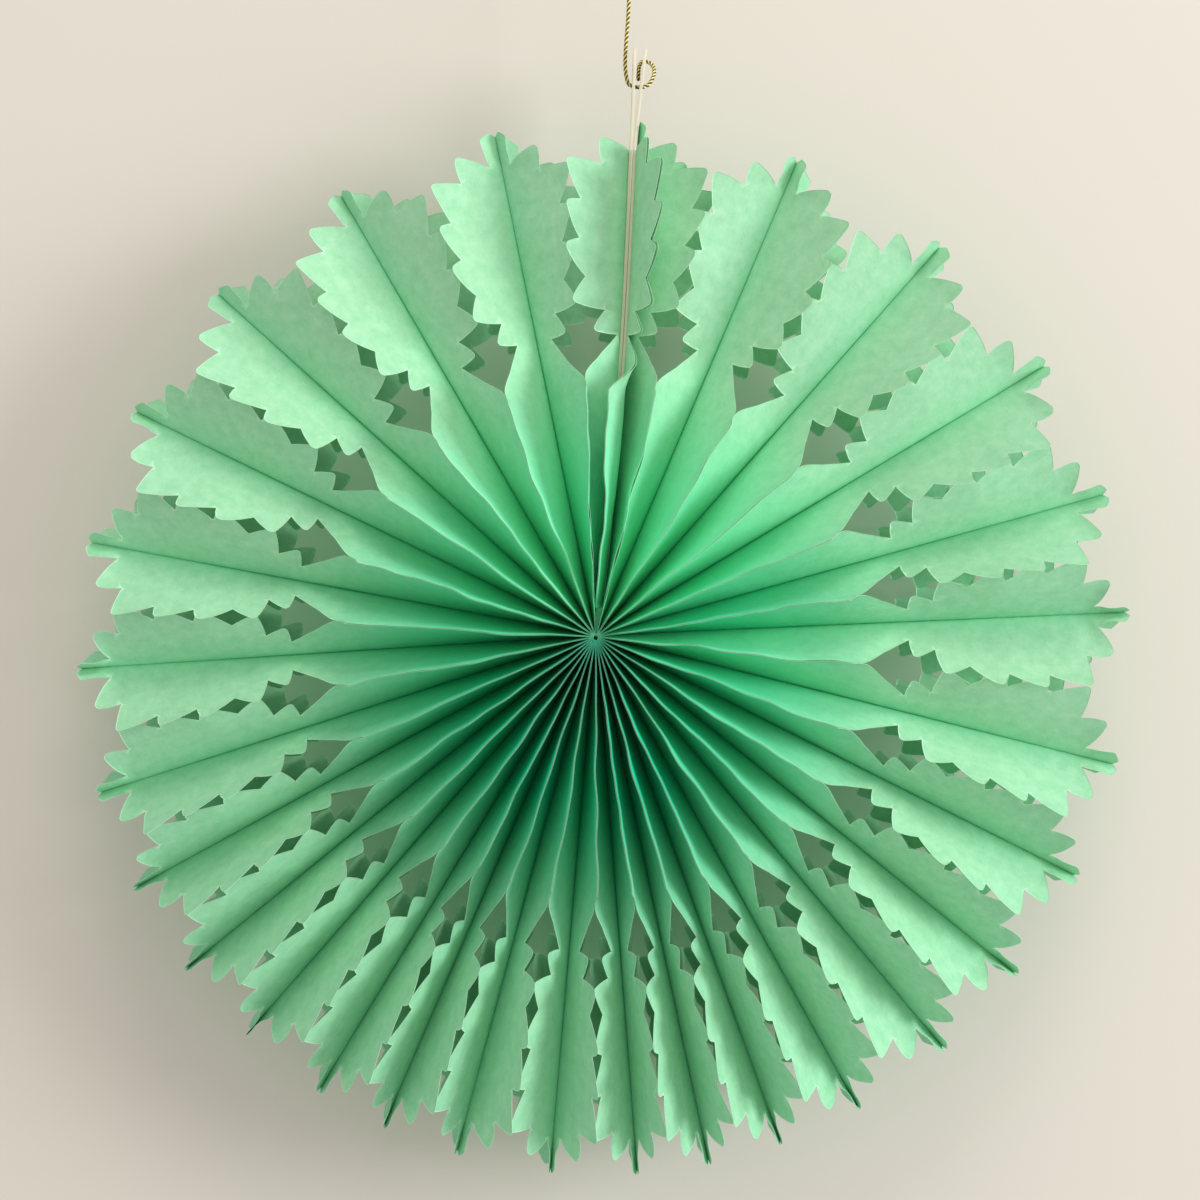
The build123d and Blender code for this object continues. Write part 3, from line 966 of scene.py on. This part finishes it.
class PAPERFAN_OT_cord(bpy.types.Operator):
    """Make the twisted gold cord with its eye and knot"""
    bl_idname = "paper_fan.cord"
    bl_label = "Make Cord"

    def execute(self, context):
        gold = gold_material()
        radius = sizes().cord / 2
        line = smooth_line(CORD_ROUTE)
        cord = twisted_strands("gold_cord", line, radius, STRANDS, STRAND_LAY)
        own(cord, "cord", gold, "hanging_cord")
        down = np.linspace(0, 1, 90)
        angle = down * math.tau * KNOT_TURNS
        x, y, z = KNOT_TOP
        coil = np.stack([
            x + KNOT_HALF_WIDTH * np.cos(angle), y + KNOT_HALF_DEPTH * np.sin(angle),
            z - KNOT_HEIGHT * down], 1)
        knot = twisted_strands("cord_knot", coil, radius * 0.9, STRANDS, STRAND_LAY)
        own(knot, "cord", gold)
        return {"FINISHED"}


class PAPERFAN_OT_sheets(bpy.types.Operator):
    """Make the folded tissue sheets"""
    bl_idname = "paper_fan.sheets"
    bl_label = "Make Sheets"

    def execute(self, context):
        flat, triangles, cut = flat_half()
        tissue = tissue_material()
        for number, sheet in enumerate(fan_sheets()):
            piece = build_sheet(sheet, flat, triangles, cut, number)
            own(piece, "tissue", tissue, sheet.node)
        return {"FINISHED"}


class PAPERFAN_OT_cards(bpy.types.Operator):
    """Make the two end cards"""
    bl_idname = "paper_fan.cards"
    bl_label = "Make Cards"

    def execute(self, context):
        board = board_material()
        size = sizes()
        for name, side in (("left_end_card", -1), ("right_end_card", 1)):
            turn = size.card_turn + side * size.card_splay / 2
            own(card_piece("board_" + name, turn, side), "card", board, name)
        return {"FINISHED"}


class PAPERFAN_OT_stage(bpy.types.Operator):
    """Make the wall, the floor and the soft light"""
    bl_idname = "paper_fan.stage"
    bl_label = "Make Stage"

    def execute(self, context):
        profile = [(STAGE_FRONT, FLOOR_Z)]
        for count in range(COVE_STEPS + 1):
            angle = math.pi / 2 * count / COVE_STEPS
            profile.append((WALL_Y - COVE_RADIUS * (1 - math.sin(angle)),
                            FLOOR_Z + COVE_RADIUS * (1 - math.cos(angle))))
        profile.append((WALL_Y, WALL_TOP))
        points = [(x, y, z) for x in STAGE_SIDES for y, z in profile]
        count = len(profile)
        faces = [(k, k + count, k + count + 1, k + 1) for k in range(count - 1)]
        backdrop = link_mesh("backdrop", points, faces, [True] * len(faces))
        material, nodes, links, shader = new_material("Pale wall", 0.9)
        shader.inputs["Base Color"].default_value = (*colours().wall, 1)
        shader.inputs["Specular IOR Level"].default_value = 0.1
        # From behind the wall is clear, so that it doesn't hide the fan's back.
        behind = nodes.new("ShaderNodeNewGeometry").outputs["Backfacing"]
        clear = nodes.new("ShaderNodeBsdfTransparent").outputs["BSDF"]
        mix_shaders(nodes, links, behind, shader.outputs["BSDF"], clear, "Material Output")
        backdrop.data.materials.append(material)
        backdrop.visible_diffuse = False
        backdrop.visible_glossy = False
        backdrop.visible_shadow = False

        world = bpy.data.worlds.new("Soft room")
        world.use_nodes = True
        nodes, links = world.node_tree.nodes, world.node_tree.links
        light = nodes["Background"]
        light.inputs["Color"].default_value = (*ROOM_LIGHT, 1)
        light.inputs["Strength"].default_value = ROOM_STRENGTH
        seen = nodes.new("ShaderNodeBackground")
        seen.inputs["Color"].default_value = (*ROOM_SEEN, 1)
        rays = nodes.new("ShaderNodeLightPath").outputs
        shown = rays["Is Camera Ray"]
        for ray in ("Is Glossy Ray", "Is Transmission Ray"):
            shown = add_math(nodes, links, "MAXIMUM", shown, rays[ray])
        mix_shaders(nodes, links, shown, light.outputs["Background"],
                    seen.outputs["Background"], "World Output")
        context.scene.world = world
        context.scene.view_settings.view_transform = "Standard"

        for name, offset, width, power, tint in LAMPS:
            data = bpy.data.lights.new(name, "AREA")
            data.shape = "SQUARE"
            data.size = width
            data.energy = power
            data.color = tint
            lamp = bpy.data.objects.new(name, data)
            lamp.location = Vector(LAMPS_AIM) + Vector(offset)
            lamp.rotation_euler = Vector(offset).to_track_quat("Z", "Y").to_euler()
            context.scene.collection.objects.link(lamp)
        return {"FINISHED"}


class PAPERFAN_PT_panel(bpy.types.Panel):
    """Paper fan tools"""
    bl_label = "Paper Fan"
    bl_idname = "PAPERFAN_PT_panel"
    bl_space_type = "VIEW_3D"
    bl_region_type = "UI"
    bl_category = "Paper Fan"

    def draw(self, context):
        for operator in OPERATORS:
            self.layout.operator(operator.bl_idname)
        for group in (context.scene.paper_fan_sizes, context.scene.paper_fan_colours):
            for name in group.__annotations__:
                self.layout.prop(group, name)


OPERATORS = (PAPERFAN_OT_camera, PAPERFAN_OT_cord, PAPERFAN_OT_sheets, PAPERFAN_OT_cards,
             PAPERFAN_OT_stage)
CLASSES = (PaperFanSizes, PaperFanColours, *OPERATORS, PAPERFAN_PT_panel)


def register():
    for made in CLASSES:
        bpy.utils.register_class(made)
    bpy.types.Scene.paper_fan_sizes = bpy.props.PointerProperty(type=PaperFanSizes)
    bpy.types.Scene.paper_fan_colours = bpy.props.PointerProperty(type=PaperFanColours)


def unregister():
    del bpy.types.Scene.paper_fan_colours
    del bpy.types.Scene.paper_fan_sizes
    for made in reversed(CLASSES):
        bpy.utils.unregister_class(made)


def main():
    register()
    bpy.ops.paper_fan.camera()
    bpy.ops.paper_fan.cord()
    bpy.ops.paper_fan.sheets()
    bpy.ops.paper_fan.cards()
    bpy.ops.paper_fan.stage()


if __name__ == "__main__":
    main()
